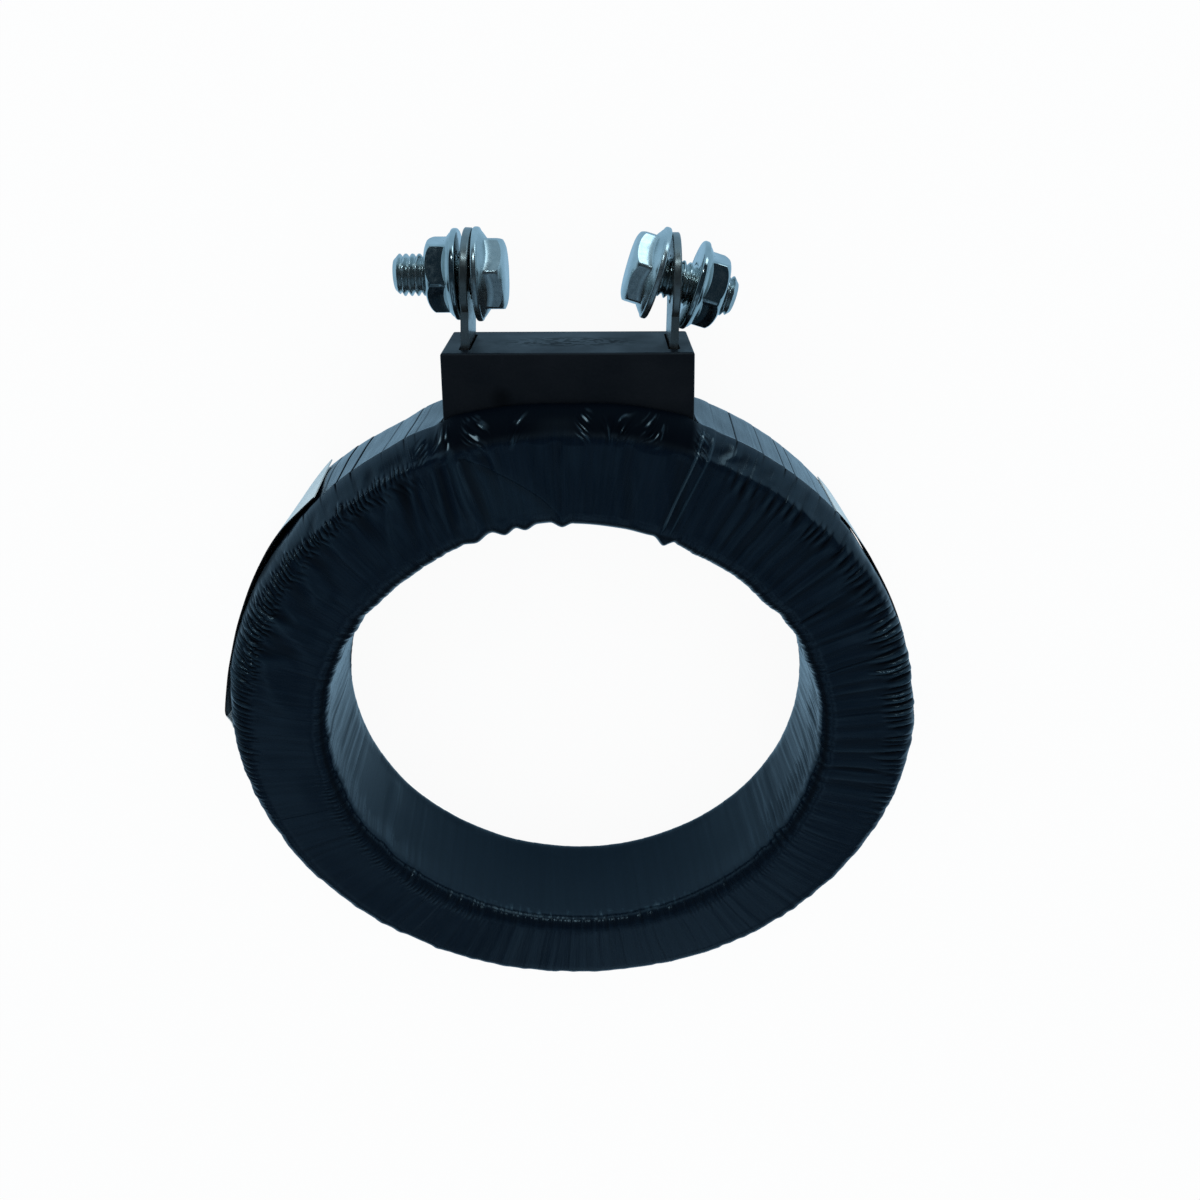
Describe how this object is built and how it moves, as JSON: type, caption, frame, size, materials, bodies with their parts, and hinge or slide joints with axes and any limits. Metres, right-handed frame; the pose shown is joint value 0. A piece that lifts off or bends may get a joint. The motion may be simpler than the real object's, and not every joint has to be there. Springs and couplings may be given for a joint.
{
  "type": "current transformer",
  "caption": "Window-type current transformer: a tape-wrapped ring with a moulded terminal block and bolted tab terminals.",
  "frame": {"origin": "centre of the window, at mid-width of the ring", "axes": "+Z along the window axis to the front face, +Y from the window towards the terminal block; the ring lies on its rear face"},
  "size_m": [0.1291, 0.1516, 0.0242],
  "materials": {
    "tape": "glossy",
    "binding": "glossy",
    "block": "matte",
    "hardware": "zinc plated",
    "tab": "tinned",
    "label": "satin film",
    "core": "strip edges",
    "board": "pressed",
    "wire": "enamelled",
    "film": "clear amber",
    "sleeve": "woven sleeve"
  },
  "bodies": {
    "root": {"outer_tape": "tape", "block_binding_tape": "binding", "terminal_block": "block", "terminal_tab_left": "tab", "terminal_tab_right": "tab", "flange_bolt_left": "hardware", "flange_bolt_right": "hardware", "flange_nut_left": "hardware", "flange_nut_right": "hardware", "label_left": "label", "label_right": "label", "core": "core", "core_board_front": "board", "core_board_rear": "board", "core_board_inner": "board", "core_board_outer": "board", "secondary_winding": "wire", "winding_film": "film", "lead_left": "wire", "lead_right": "wire", "lead_sleeve_left": "sleeve", "lead_sleeve_right": "sleeve"}
  },
  "joints": []
}
